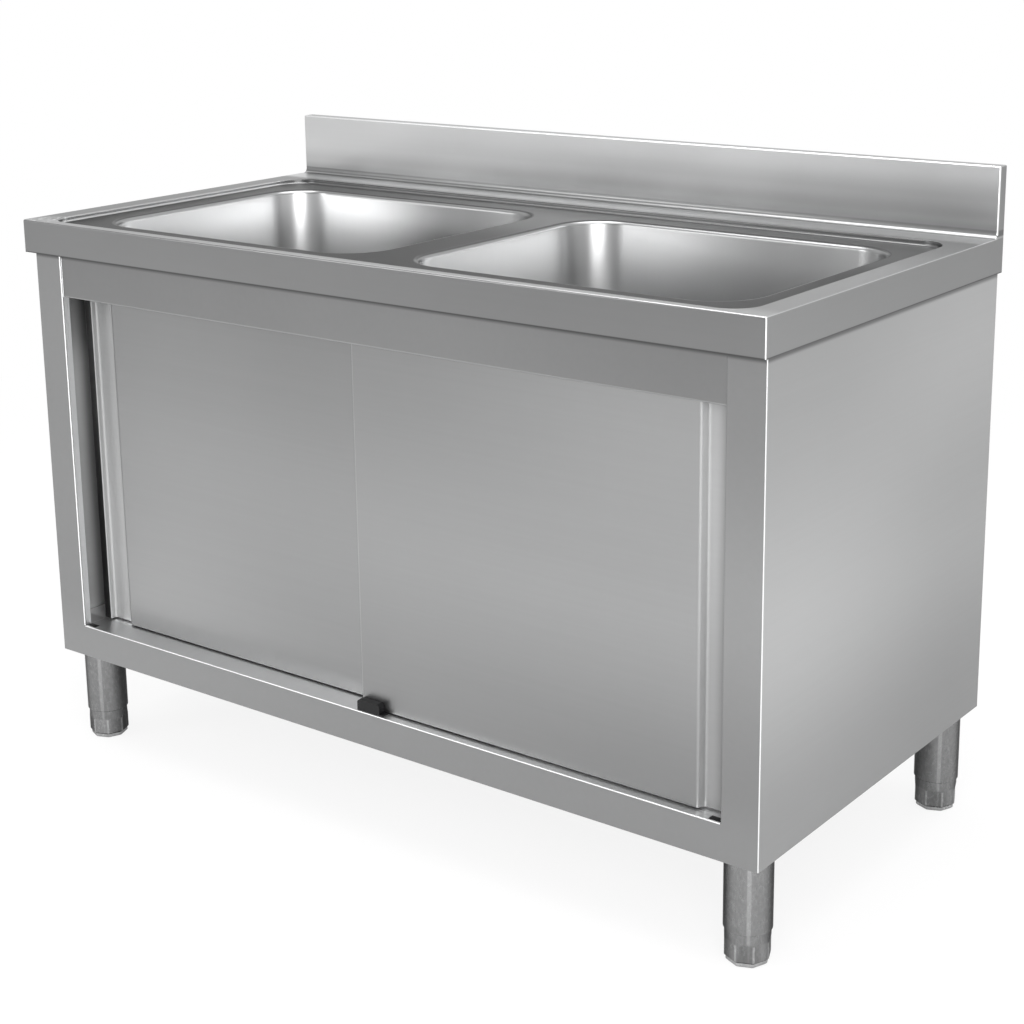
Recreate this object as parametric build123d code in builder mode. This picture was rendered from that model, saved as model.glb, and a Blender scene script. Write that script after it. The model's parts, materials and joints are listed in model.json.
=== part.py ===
from build123d import *
import os

# Kitchen sink unit: two bowls in a worktop with a splashback, over a cabinet with two
# sliding doors on four adjustable legs. Millimetres. The origin is on the floor, midway
# between the ends and between front and back; +X is the viewer's right, +Y the back.

# ---- overall
unit_length = 1300.0
unit_depth = 650.0
worktop_height = 850.0
cabinet_floor = 150.0  # underside of the cabinet above the floor

# ---- sheet and fits
worktop_sheet = 1.5
cabinet_sheet = 1.2
door_sheet = 1.0
bend_radius = 2.0
inner_bend = 0.5
moving_gap = 0.3  # between a moving piece and what it almost touches
running_fit = 0.05  # radial, shaft in bore
hidden_gap = 0.5  # loose fit of inner pieces

# ---- worktop
fascia_height = 50.0
fascia_edge_radius = 3.0
splash_height = 100.0
splash_thickness = 21.0
splash_cove_radius = 8.0
splash_return = 25.0
deck_drop = 8.0  # the deck lies this far below the rim
rim_side = 38.0
rim_front = 16.0
ledge_depth = 64.0  # between the deck and the splashback
deck_corner_radius = 40.0
rim_edge_radius = 2.0
deck_foot_radius = 3.0

# ---- bowls
bowl_length = 540.0
bowl_width = 455.0  # front to back
bowl_gap = 62.0
bowl_front_margin = 51.5  # from the deck's front edge to the bowl's
bowl_depth = 250.0
bowl_corner_radius = 75.0
bowl_lip_radius = 7.0
bowl_lip_land = 1.0  # flat edge of the bowl that is welded to the deck
bowl_floor_radius = 45.0
bowl_draft = 2.0
bowl_sheet = 1.2
dish_radius = 55.0
dish_depth = 5.0

# ---- drains
drain_flange_radius = 43.0
drain_flange_sheet = 2.0
drain_mouth_radius = 29.0  # flared rim of the throat
drain_mouth_depth = 4.5
drain_bore_radius = 26.0
drain_wall = 4.0
drain_length = 48.0
plug_depth = 12.0  # smooth length for a plug or standpipe
strainer_seat_radius = 25.0
strainer_ledge = 2.0
strainer_sheet = 1.5
strainer_hole_radius = 3.0
strainer_hole_count = 8
strainer_ring_radius = 17.0
gasket_radius = 40.0
gasket_thickness = 3.0
locknut_radius = 40.0
locknut_height = 14.0
locknut_notches = 6
notch_radius = 5.0
tail_radius = 23.9  # 1 1/2 inch pipe thread
tail_wall = 3.0
tail_cap_height = 16.0
tail_length = 42.0

# ---- cabinet
side_inset = 6.0  # from the worktop's edge to the cabinet's side
front_setback = 15.0  # from the worktop's front edge to the cabinet's front
stile_width = 55.0
stile_return = 13.0
back_flange = 25.0
bottom_hem = 7.0
rail_setback = 3.0
rail_height = 67.0  # what shows of the top rail
rail_hem = 12.0
rail_flange = 35.0
top_flange_gap = 30.0  # from the cabinet's front and back to the side panels' top flanges
back_hem = 8.0
shelf_height = 51.0  # bottom rail, which is the shelf's front fold
shelf_front_hem = 10.0
shelf_side_fold = 30.0
shelf_notch_length = 20.0  # in front of the foot of each stile's return
shelf_notch_depth = 11.0
shelf_notch_lip = 2.0
service_length = 400.0
service_height = 250.0
service_radius = 20.0
service_floor_gap = 60.0

# ---- stiffeners
hat_width = 54.0
hat_height = 20.0
hat_flange = 12.0
side_hat_width = 38.0
side_hat_flange = 8.0
hat_end_gap = 7.0
hat_front_gap = 10.0  # behind the upper track
shelf_hat_width = 70.0
shelf_hat_height = 30.0
shelf_hat_length = 1000.0

# ---- doors
door_overlap = 28.0  # of the two closed doors
door_thickness = 18.0
door_setback = 16.0  # front door's face behind the cabinet's front
door_pitch = 26.0
door_floor_gap = 2.5
door_rail_lap = 12.0  # door's top edge above the top rail's lower edge
pull_lip = 16.0
pull_width = 38.0
pull_depth = 10.0
pull_ramp = 7.0
pull_foot_radius = 4.0
pull_ramp_radius = 5.0
door_lip_radius = 1.5
door_fold_radius = 1.2
door_back_fold = 10.0
core_cell_radius = 32.0
core_cell_wall = 4.0
door_side_gap = 36.8  # from a closed door's end to the cabinet's side
left_door_open = 17.0  # the left door stands this far from its stop

# ---- upper track, rollers and hangers
track_wall = 1.5
track_inner_width = 14.0
track_inner_height = 22.0
track_slot = 7.0
track_rise = 19.0  # from the doors' top edge to what the rollers run on
track_end_gap = 2.8
track_flange = 23.0
track_flange_sheet = 2.0
track_spine = 3.0
roller_radius = 9.0
roller_width = 4.0
roller_washer = 0.5
roller_chamfer = 0.6
axle_radius = 2.5
axle_head = 0.8
axle_head_radius = 3.6
hanger_sheet = 2.5
hanger_inset = 40.0  # from the door's end to the roller's axle
hanger_foot_length = 56.0
hanger_eye_radius = 8.0
hanger_lane = 6.0  # middle of the hanger behind its door's face
hanger_foot_width = 12.5
hanger_neck = 18.0  # the eye plate's width at its foot
hanger_screw_setback = 13.5  # behind the door's face
hanger_screw_head_radius = 3.0
stop_length = 20.0
stop_side_gap = 0.2

# ---- door guide
guide_length = 41.0
guide_height = 16.0
guide_tab = 6.0  # the base runs on past the walls at the right
guide_base = 2.0
guide_front_lip = 12.0
guide_rear_lip = 6.0
guide_side_gap = 1.0
guide_corner_radius = 5.0
guide_offset = 8.0  # to the right of the middle

# ---- legs and feet
leg_radius = 32.0
leg_wall = 2.0
leg_side_inset = 41.0
leg_front_inset = 48.0
leg_back_inset = 44.5
bracket_size = 100.0
bracket_sheet = 3.0
bracket_fold = 18.0
leg_cap_thickness = 4.0
leg_bolt_radius = 5.0
leg_bolt_length = 9.0
leg_bolt_head = 6.4
leg_bolt_flats = 17.0
foot_height = 47.0
foot_radius = 30.2
foot_skirt_radius = 31.4
foot_skirt_height = 22.0
foot_skirt_taper = 4.0
foot_base_radius = 29.0
foot_base_height = 6.0
foot_flats = 56.0
foot_flat_height = 12.0
foot_flat_arch = 4.0
foot_flat_half = 15.0
foot_chamfer = 2.0
foot_travel = 30.0  # how far a foot screws out
insert_height = 25.0
spindle_radius = 8.0
spindle_spare = 7.0  # thread above the insert when the foot is fully out

# ---- small screws
screw_radius = 2.0
screw_head_radius = 4.0
screw_length = 3.0
track_screw_count = 5
track_screw_margin = 29.0  # from the rail's end to the outermost screw
guide_screw_pitch = 26.0
hanger_screw_pitch = 40.0

# ---- planes and places worked out from the sizes above
end_x = unit_length / 2
front_y = -unit_depth / 2
back_y = unit_depth / 2
rim_z = worktop_height
fascia_z = rim_z - fascia_height
deck_z = rim_z - deck_drop
deck_under_z = deck_z - worktop_sheet
rim_under_z = rim_z - worktop_sheet
splash_y = back_y - splash_thickness
splash_top_z = rim_z + splash_height
cove_back_radius = splash_cove_radius + worktop_sheet

deck_front_y = front_y + rim_front
deck_back_y = splash_y - ledge_depth
deck_length = unit_length - 2 * rim_side
deck_width = deck_back_y - deck_front_y
deck_centre_y = (deck_front_y + deck_back_y) / 2

bowl_x = (bowl_length + bowl_gap) / 2
bowl_y = deck_front_y + bowl_front_margin + bowl_width / 2
bowl_floor_z = deck_z - bowl_depth
dish_z = bowl_floor_z - dish_depth
mouth_length = bowl_length + 2 * bowl_lip_land  # hole in the deck, filled by the bowl's lip
mouth_width = bowl_width + 2 * bowl_lip_land
mouth_corner = bowl_corner_radius + bowl_lip_land

drain_radius = drain_bore_radius + drain_wall
flange_top_z = dish_z + drain_flange_sheet
drain_bore_z = flange_top_z - drain_mouth_depth
strainer_top_z = drain_bore_z - plug_depth
strainer_z = strainer_top_z - 2 * strainer_sheet
strainer_ledge_radius = strainer_seat_radius - strainer_ledge
drain_foot_z = flange_top_z - drain_length
gasket_z = dish_z - bowl_sheet - gasket_thickness
locknut_z = gasket_z - locknut_height
tail_z = drain_foot_z - tail_length

cabinet_x = end_x - side_inset
cabinet_y = front_y + front_setback
stile_x = cabinet_x - stile_width
cabinet_inner_x = cabinet_x - cabinet_sheet
cabinet_inner_y = cabinet_y + cabinet_sheet
shelf_z = cabinet_floor + shelf_height
rail_z = fascia_z - rail_height
rail_y = cabinet_y + rail_setback
back_panel_y = back_y - cabinet_sheet
back_panel_x = cabinet_inner_x - bend_radius
back_hem_y = back_panel_y - cabinet_sheet - back_hem
hem_x = cabinet_inner_x - back_flange - hidden_gap

door_travel_end = cabinet_inner_x - door_side_gap  # outermost place of either door's end
door_length = door_travel_end + door_overlap / 2
right_door_end = door_travel_end
left_door_end = left_door_open - door_travel_end
door_z = shelf_z + door_floor_gap
door_top_z = rail_z + door_rail_lap
door_height = door_top_z - door_z
front_door_y = cabinet_y + door_setback
rear_door_y = front_door_y + door_pitch

track_z = door_top_z + track_rise  # top of the lips that carry the rollers
track_foot_z = track_z - track_wall
track_flange_z = deck_under_z - cabinet_sheet - track_flange_sheet
track_top_z = track_z + track_inner_height + track_wall
track_length = 2 * (cabinet_inner_x - track_end_gap)
roller_z = track_z + moving_gap + roller_radius
front_lane_y = front_door_y + hanger_lane
rear_lane_y = rear_door_y + hanger_lane
spine_y = (front_lane_y + rear_lane_y) / 2
track_screw_y = spine_y - track_flange / 2
track_screw_pitch = 2 * (stile_x - track_screw_margin) / (track_screw_count - 1)
track_screw_start = track_screw_margin - stile_x
track_screw_places = [track_screw_start + i * track_screw_pitch for i in range(track_screw_count)]
stop_face_x = door_travel_end - hanger_inset + roller_radius + moving_gap

guide_walls = (
    (front_door_y - guide_side_gap - guide_front_lip, front_door_y - guide_side_gap),
    (front_door_y + door_thickness + guide_side_gap, rear_door_y - guide_side_gap),
    (
        rear_door_y + door_thickness + guide_side_gap,
        rear_door_y + door_thickness + guide_side_gap + guide_rear_lip,
    ),
)
guide_screw_y = front_door_y + door_thickness / 2

hat_front_y = rear_lane_y + track_inner_width / 2 + track_wall + hat_front_gap
hat_length = deck_back_y - hat_end_gap - hat_front_y

bracket_z = cabinet_floor + cabinet_sheet
leg_top_z = bracket_z
leg_x = cabinet_x - leg_side_inset
leg_front_y = cabinet_y + leg_front_inset
leg_back_y = back_y - leg_back_inset
insert_radius = leg_radius - leg_wall
foot_flat_top = foot_base_height + foot_flat_height
spindle_length = insert_height + foot_travel + spindle_spare

os.makedirs("parts", exist_ok=True)


def keep(name, piece):
    piece.label = name
    export_step(piece, f"parts/{name}.step")


def slab(x, y, z, mode=Mode.ADD):
    """Adds a block that lies between two places along each axis."""
    with Locations(((x[0] + x[1]) / 2, (y[0] + y[1]) / 2, (z[0] + z[1]) / 2)):
        Box(abs(x[1] - x[0]), abs(y[1] - y[0]), abs(z[1] - z[0]), mode=mode)


def folded_sheet(points, sheet, plane, length, radius=bend_radius, side=Side.RIGHT):
    """A sheet bent along a line of points and as long as it is extruded from the plane."""
    with BuildPart() as folded:
        with BuildSketch(plane):
            with BuildLine():
                FilletPolyline(*points, radius=radius)
                offset(amount=sheet, side=side)
            make_face()
        extrude(amount=length)
    return folded.part


def round_bar(x, y, z, radius, height, mode=Mode.ADD):
    """Adds an upright round bar that stands on the height z."""
    with Locations((x, y, z)):
        Cylinder(radius, height, align=(Align.CENTER, Align.CENTER, Align.MIN), mode=mode)


def level_face(builder, z):
    """The largest level face at the height z."""
    level = builder.faces().filter_by(Plane.XY).filter_by(lambda f: abs(f.center().Z - z) < hidden_gap / 10)
    return level.sort_by(SortBy.AREA)[-1]


# ---- worktop: an outer form, hollowed from below, with a pan let into it and two mouths
with BuildPart() as deck_pan:  # what is pressed out of the top
    with BuildSketch(Plane.XY.offset(deck_z)):
        with Locations((0, deck_centre_y)):
            RectangleRounded(deck_length, deck_width, deck_corner_radius)
    extrude(amount=deck_drop)
    fillet(deck_pan.faces().sort_by(Axis.Z)[0].edges(), deck_foot_radius)

with BuildPart() as worktop:
    with BuildSketch(Plane.YZ):
        with BuildLine():
            FilletPolyline(
                (front_y, fascia_z),
                (front_y, rim_z),
                (splash_y, rim_z),
                (splash_y, splash_top_z),
                (back_y, splash_top_z),
                (back_y, fascia_z),
                radius=[0, fascia_edge_radius, splash_cove_radius, bend_radius, bend_radius, 0],
                close=True,
            )
        make_face()
    extrude(amount=end_x, both=True)
    ends = worktop.faces().filter_by(Axis.X)
    fillet(ends.edges().filter_by(lambda e: e.center().Z > fascia_z and e.center().Y < back_y), bend_radius)
    with BuildSketch(Plane.YZ):
        with BuildLine():
            FilletPolyline(
                (front_y + worktop_sheet, fascia_z),
                (front_y + worktop_sheet, rim_z - worktop_sheet),
                (splash_y + worktop_sheet, rim_z - worktop_sheet),
                (splash_y + worktop_sheet, splash_top_z - worktop_sheet),
                (back_y - worktop_sheet, splash_top_z - worktop_sheet),
                (back_y - worktop_sheet, splash_top_z - splash_return),
                (back_y, splash_top_z - splash_return),
                (back_y, fascia_z),
                radius=[0, worktop_sheet, cove_back_radius, inner_bend, inner_bend, 0, 0, 0],
                close=True,
            )
        make_face()
    extrude(amount=end_x - worktop_sheet, both=True, mode=Mode.SUBTRACT)
    with BuildSketch(Plane.XY.offset(fascia_z)):  # lips that close the fascia's underside
        with Locations((0, (front_y + back_y + worktop_sheet) / 2)):
            Rectangle(unit_length - 2 * worktop_sheet, unit_depth - worktop_sheet)
        with Locations((0, (cabinet_y - hidden_gap + back_y) / 2)):
            Rectangle(2 * (cabinet_x + hidden_gap), back_y - cabinet_y + hidden_gap, mode=Mode.SUBTRACT)
    extrude(amount=worktop_sheet)
    with BuildSketch(Plane.XY.offset(deck_under_z)):
        with Locations((0, deck_centre_y)):
            RectangleRounded(
                deck_length + 2 * worktop_sheet,
                deck_width + 2 * worktop_sheet,
                deck_corner_radius + worktop_sheet,
            )
    extrude(amount=deck_drop)
    add(deck_pan.part, mode=Mode.SUBTRACT)
    fillet(level_face(worktop, rim_z).inner_wires()[0].edges(), rim_edge_radius)
    with BuildSketch(Plane.XY.offset(deck_under_z)):
        with Locations((-bowl_x, bowl_y), (bowl_x, bowl_y)):
            RectangleRounded(mouth_length, mouth_width, mouth_corner)
    extrude(amount=worktop_sheet, mode=Mode.SUBTRACT)
keep("worktop", worktop.part)


# ---- bowls: pressed tubs with a flared lip, a dished floor and a hole for the drain
def tub(x, grow, floor_z):
    """The form of a bowl, larger than its inside by grow, with its dish."""
    length = bowl_length - 2 * bowl_lip_radius + 2 * grow
    width = bowl_width - 2 * bowl_lip_radius + 2 * grow
    with BuildPart() as form:
        with BuildSketch(Plane.XY.offset(deck_z)):
            with Locations((x, bowl_y)):
                RectangleRounded(length, width, bowl_corner_radius - bowl_lip_radius + grow)
        extrude(amount=floor_z - deck_z, taper=bowl_draft)
        fillet(form.faces().sort_by(Axis.Z)[0].edges(), bowl_floor_radius + grow)
        with Locations((x, bowl_y, floor_z)):
            Cone(
                dish_radius - dish_depth + grow,
                dish_radius + grow,
                dish_depth,
                align=(Align.CENTER, Align.CENTER, Align.MAX),
            )
    return form.part


def pressed_bowl(x):
    with BuildPart() as bowl:
        add(tub(x, bowl_sheet, bowl_floor_z - bowl_sheet))
        with BuildSketch(Plane.XY.offset(deck_under_z)):
            with Locations((x, bowl_y)):
                RectangleRounded(mouth_length, mouth_width, mouth_corner)
        extrude(amount=worktop_sheet)
        fillet(level_face(bowl, deck_under_z).inner_wires()[0].edges(), bowl_lip_radius - worktop_sheet)
        add(tub(x, 0, bowl_floor_z), mode=Mode.SUBTRACT)
        fillet(level_face(bowl, deck_z).inner_wires()[0].edges(), bowl_lip_radius)
        round_bar(x, bowl_y, dish_z - 2 * bowl_sheet, drain_radius, 3 * bowl_sheet, mode=Mode.SUBTRACT)
    return bowl.part


def turned(points, x, y):
    """A piece turned about an upright axis at x, y from the points of its half section."""
    with BuildPart() as piece:
        with BuildSketch(Plane(origin=(x, y, 0), x_dir=(1, 0, 0), z_dir=(0, -1, 0))):
            with BuildLine():
                Polyline(*points, close=True)
            make_face()
        revolve(axis=Axis((x, y, 0), (0, 0, 1)))
    return piece.part


def drain_body(x):
    """Threaded throat whose flange lies in the bowl's dish; a ledge inside it carries the strainer."""
    return turned(
        [
            (drain_bore_radius, drain_bore_z),
            (drain_mouth_radius, flange_top_z),
            (drain_flange_radius - drain_flange_sheet, flange_top_z),
            (drain_flange_radius, dish_z),
            (drain_radius, dish_z),
            (drain_radius, drain_foot_z),
            (strainer_ledge_radius, drain_foot_z),
            (strainer_ledge_radius, strainer_z),
            (strainer_seat_radius, strainer_z),
            (strainer_seat_radius, strainer_top_z),
            (drain_bore_radius, strainer_top_z),
        ],
        x,
        bowl_y,
    )


def strainer_plate(x):
    with BuildPart() as strainer:
        round_bar(x, bowl_y, strainer_z, strainer_seat_radius - hidden_gap / 2, strainer_sheet)
        round_bar(x, bowl_y, strainer_z + strainer_sheet, strainer_hole_radius, strainer_sheet)
        with Locations((x, bowl_y, strainer_z)):
            with PolarLocations(strainer_ring_radius, strainer_hole_count):
                Hole(strainer_hole_radius, depth=2 * strainer_sheet)
    return strainer.part


def ring(x, z, outer_radius, height):
    """A flat ring round the drain's throat."""
    with BuildPart() as flat_ring:
        round_bar(x, bowl_y, z, outer_radius, height)
        round_bar(x, bowl_y, z, drain_radius, height, mode=Mode.SUBTRACT)
    return flat_ring.part


def drain_locknut(x):
    """A ring nut with gripping notches round its edge."""
    with BuildPart() as locknut:
        add(ring(x, locknut_z, locknut_radius, locknut_height))
        with Locations((x, bowl_y, locknut_z)):
            with PolarLocations(locknut_radius, locknut_notches):
                Cylinder(
                    notch_radius,
                    locknut_height,
                    align=(Align.CENTER, Align.CENTER, Align.MIN),
                    mode=Mode.SUBTRACT,
                )
    return locknut.part


def drain_tailpiece(x):
    """A cap that screws on to the throat's foot and narrows it to the waste pipe's thread."""
    return turned(
        [
            (drain_radius, drain_foot_z + tail_cap_height),
            (drain_radius + tail_wall, drain_foot_z + tail_cap_height),
            (drain_radius + tail_wall, drain_foot_z - tail_wall),
            (tail_radius, drain_foot_z - tail_wall),
            (tail_radius, tail_z),
            (tail_radius - tail_wall, tail_z),
            (tail_radius - tail_wall, drain_foot_z),
            (drain_radius, drain_foot_z),
        ],
        x,
        bowl_y,
    )


for hand, x in (("left", -bowl_x), ("right", bowl_x)):
    keep(f"{hand}_bowl", pressed_bowl(x))
    keep(f"{hand}_drain_body", drain_body(x))
    keep(f"{hand}_strainer_plate", strainer_plate(x))
    keep(f"{hand}_drain_gasket", ring(x, gasket_z, gasket_radius, gasket_thickness))
    keep(f"{hand}_drain_locknut", drain_locknut(x))
    keep(f"{hand}_drain_tailpiece", drain_tailpiece(x))


# ---- cabinet sheets
with BuildPart() as right_side_panel:  # side, rear flange and the stile with its return
    add(
        folded_sheet(
            [
                (cabinet_x - back_flange, back_y),
                (cabinet_x, back_y),
                (cabinet_x, cabinet_y),
                (stile_x, cabinet_y),
                (stile_x, cabinet_y + stile_return),
            ],
            cabinet_sheet,
            Plane.XY.offset(cabinet_floor),
            deck_under_z - cabinet_floor,
        )
    )
    stile_edge = (stile_x, stile_x + bend_radius)
    slab(stile_edge, (cabinet_y, cabinet_y + stile_return), (cabinet_floor, shelf_z), mode=Mode.SUBTRACT)
    slab(stile_edge, (cabinet_y, cabinet_inner_y), (cabinet_floor, shelf_z))  # welded flush with the rail
    slab((cabinet_inner_x, cabinet_x), (cabinet_inner_y, back_panel_y), (deck_under_z, rim_under_z))
    slab(
        (cabinet_x - back_flange, cabinet_x),
        (cabinet_inner_y + top_flange_gap, back_panel_y - top_flange_gap),
        (rim_under_z - cabinet_sheet, rim_under_z),
    )
    slab(
        (cabinet_inner_x - bottom_hem, cabinet_inner_x),
        (cabinet_inner_y, back_panel_y - cabinet_sheet),
        (cabinet_floor, bracket_z),
    )
keep("right_side_panel", right_side_panel.part)

with BuildPart() as left_side_panel:
    mirror(right_side_panel.part, about=Plane.YZ)
keep("left_side_panel", left_side_panel.part)

with BuildPart() as back_panel:
    back_panel_front_y = back_panel_y - cabinet_sheet
    slab((-back_panel_x, back_panel_x), (back_panel_front_y, back_panel_y), (cabinet_floor, rim_under_z))
    for hem_z in (cabinet_floor, rim_under_z - cabinet_sheet):
        slab((-hem_x, hem_x), (back_hem_y, back_panel_front_y), (hem_z, hem_z + cabinet_sheet))
    with BuildSketch(Plane.XZ.offset(-back_panel_y)):
        with Locations((0, shelf_z + service_floor_gap + service_height / 2)):
            RectangleRounded(service_length, service_height, service_radius)
    extrude(amount=cabinet_sheet, mode=Mode.SUBTRACT)
keep("back_panel", back_panel.part)

with BuildPart() as bottom_shelf:  # its front fold is the bottom rail
    shelf_under_z = shelf_z - cabinet_sheet
    shelf_back_y = back_panel_y - cabinet_sheet
    with BuildSketch(Plane.XY.offset(shelf_under_z)):
        with Locations((0, (cabinet_inner_y + shelf_back_y) / 2)):
            RectangleRounded(2 * cabinet_inner_x, shelf_back_y - cabinet_inner_y, bend_radius)
    extrude(amount=cabinet_sheet)
    slab((-stile_x, stile_x), (cabinet_y, cabinet_inner_y), (cabinet_floor, shelf_z))
    fillet(bottom_shelf.edges().filter_by(Axis.X).group_by(Axis.Y)[0].sort_by(Axis.Z)[-1], bend_radius / 2)
    slab(
        (-stile_x, stile_x),
        (cabinet_inner_y, cabinet_y + shelf_front_hem),
        (cabinet_floor, cabinet_floor + cabinet_sheet),
    )
    slab(
        (-back_panel_x, back_panel_x),
        (shelf_back_y - cabinet_sheet, shelf_back_y),
        (shelf_z - shelf_side_fold, shelf_under_z),
    )
    for side in (-1, 1):
        slab(
            (side * (cabinet_inner_x - cabinet_sheet), side * cabinet_inner_x),
            (cabinet_inner_y + bend_radius, shelf_back_y - bend_radius),
            (shelf_z - shelf_side_fold, shelf_under_z),
        )
        notch_y = cabinet_inner_y + shelf_notch_lip
        slab(
            (side * stile_x, side * (stile_x - shelf_notch_length)),
            (notch_y, notch_y + shelf_notch_depth),
            (shelf_under_z, shelf_z),
            mode=Mode.SUBTRACT,
        )
    for x in (guide_offset - guide_screw_pitch / 2, guide_offset + guide_screw_pitch / 2):
        round_bar(x, guide_screw_y, shelf_under_z, screw_radius, cabinet_sheet, mode=Mode.SUBTRACT)
keep("bottom_shelf", bottom_shelf.part)

with BuildPart() as top_rail:
    add(
        folded_sheet(
            [
                (rail_y + rail_hem, rail_z),
                (rail_y, rail_z),
                (rail_y, deck_under_z),
                (rail_y + rail_flange, deck_under_z),
            ],
            cabinet_sheet,
            Plane.YZ.offset(-stile_x),
            2 * stile_x,
        )
    )
    rail_top_z = deck_under_z - cabinet_sheet
    for x in track_screw_places:
        round_bar(x, track_screw_y, rail_top_z, screw_radius, cabinet_sheet, mode=Mode.SUBTRACT)
keep("top_rail", top_rail.part)


# ---- stiffeners: hat channels under the deck and under the shelf
def hat_line(centre, z, width, height, flange):
    """Half widths of a hat channel whose flanges press up against the height z."""
    foot = width / 2 - flange
    return [
        (centre - width / 2, z),
        (centre - foot, z),
        (centre - foot, z - height),
        (centre + foot, z - height),
        (centre + foot, z),
        (centre + width / 2, z),
    ]


with BuildPart() as deck_stiffeners:
    side_hat_x = (deck_length / 2 + bowl_x + mouth_length / 2) / 2
    hats = [(0, hat_width, hat_flange)]
    hats += [(side * side_hat_x, side_hat_width, side_hat_flange) for side in (-1, 1)]
    for x, width, flange in hats:
        line = hat_line(x, deck_under_z, width, hat_height, flange)
        add(folded_sheet(line, cabinet_sheet, Plane.XZ.offset(hat_end_gap - deck_back_y), hat_length))
keep("deck_stiffeners", deck_stiffeners.part)

with BuildPart() as shelf_stiffener:
    line = hat_line(0, shelf_z - cabinet_sheet, shelf_hat_width, shelf_hat_height, hat_flange)
    add(folded_sheet(line, cabinet_sheet, Plane.YZ.offset(-shelf_hat_length / 2), shelf_hat_length))
keep("shelf_stiffener", shelf_stiffener.part)

# ---- upper track: two channels open below, joined by a web and hung from a flange
with BuildPart() as upper_track:
    with BuildSketch(Plane.YZ.offset(-track_length / 2)):
        for lane_y in (front_lane_y, rear_lane_y):
            with Locations((lane_y, (track_foot_z + track_top_z) / 2)):
                Rectangle(track_inner_width + 2 * track_wall, track_top_z - track_foot_z)
            with Locations((lane_y, track_z + track_inner_height / 2)):
                Rectangle(track_inner_width, track_inner_height, mode=Mode.SUBTRACT)
            with Locations((lane_y, track_z - track_wall / 2)):
                Rectangle(track_slot, track_wall, mode=Mode.SUBTRACT)
        with Locations((spine_y, track_top_z - track_wall / 2)):
            Rectangle(door_pitch - track_inner_width - 2 * track_wall, track_wall)
        with Locations((spine_y, (track_top_z + track_flange_z) / 2)):
            Rectangle(track_spine, track_flange_z - track_top_z)
        flange_y = spine_y + track_spine / 2 - track_flange / 2
        with Locations((flange_y, track_flange_z + track_flange_sheet / 2)):
            Rectangle(track_flange, track_flange_sheet)
    extrude(amount=track_length)
    for x in track_screw_places:
        with Locations(Location((x, track_screw_y, track_flange_z), (180, 0, 0))):
            CounterSinkHole(screw_radius, screw_head_radius, track_flange_sheet, counter_sink_angle=90)
keep("upper_track", upper_track.part)

with BuildPart() as track_end_stops:
    for lane_y in (front_lane_y, rear_lane_y):
        half_width = track_inner_width / 2 - stop_side_gap
        for side in (-1, 1):
            slab(
                (side * stop_face_x, side * (stop_face_x + stop_length)),
                (lane_y - half_width, lane_y + half_width),
                (track_z, track_z + track_inner_height - stop_side_gap),
            )
keep("track_end_stops", track_end_stops.part)

# ---- door guide: a moulded block with a slot for each door's lower edge
with BuildPart() as door_guide:
    with BuildSketch(Plane.YZ.offset(guide_offset - guide_length / 2)):
        for wall_front, wall_back in guide_walls:
            with Locations(((wall_front + wall_back) / 2, shelf_z + guide_height / 2)):
                Rectangle(wall_back - wall_front, guide_height)
    extrude(amount=guide_length)
    fillet(door_guide.edges().filter_by(Axis.Y).group_by(Axis.Z)[-1], guide_corner_radius)
    slab(
        (guide_offset - guide_length / 2, guide_offset + guide_length / 2 + guide_tab),
        (guide_walls[0][0], guide_walls[-1][1]),
        (shelf_z, shelf_z + guide_base),
    )
    for x in (guide_offset - guide_screw_pitch / 2, guide_offset + guide_screw_pitch / 2):
        with Locations((x, guide_screw_y, shelf_z + guide_base)):
            CounterSinkHole(screw_radius, screw_head_radius, guide_base, counter_sink_angle=90)
keep("door_guide", door_guide.part)


def countersunk_screw(x, y, z, down, length):
    """Adds a screw whose flat head lies at the height z and whose shank points down or up."""
    turn = 0 if down else 180
    head = screw_head_radius - screw_radius
    with Locations(Location((x, y, z), (turn, 0, 0))):
        Cone(screw_radius, screw_head_radius, head, align=(Align.CENTER, Align.CENTER, Align.MAX))
        Cylinder(screw_radius, length, align=(Align.CENTER, Align.CENTER, Align.MAX))


with BuildPart() as cabinet_screws:
    for x in (guide_offset - guide_screw_pitch / 2, guide_offset + guide_screw_pitch / 2):
        countersunk_screw(x, guide_screw_y, shelf_z + guide_base, True, screw_length)
    for x in track_screw_places:
        countersunk_screw(x, track_screw_y, track_flange_z, False, screw_length)
keep("cabinet_screws", cabinet_screws.part)


# ---- doors
def door_outline(outer_x, inward, face_y):
    """Plan of a door's face: outer end, lip, finger pull, face and inner end."""
    back = face_y + door_thickness
    meeting_x = outer_x + inward * door_length
    pull_start = outer_x + inward * pull_lip
    pull_end = pull_start + inward * pull_width
    return [
        (outer_x, back),
        (outer_x, face_y),
        (pull_start, face_y),
        (pull_start, face_y + pull_depth),
        (pull_end, face_y + pull_depth),
        (pull_end + inward * pull_ramp, face_y),
        (meeting_x, face_y),
        (meeting_x, back),
    ]


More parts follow.
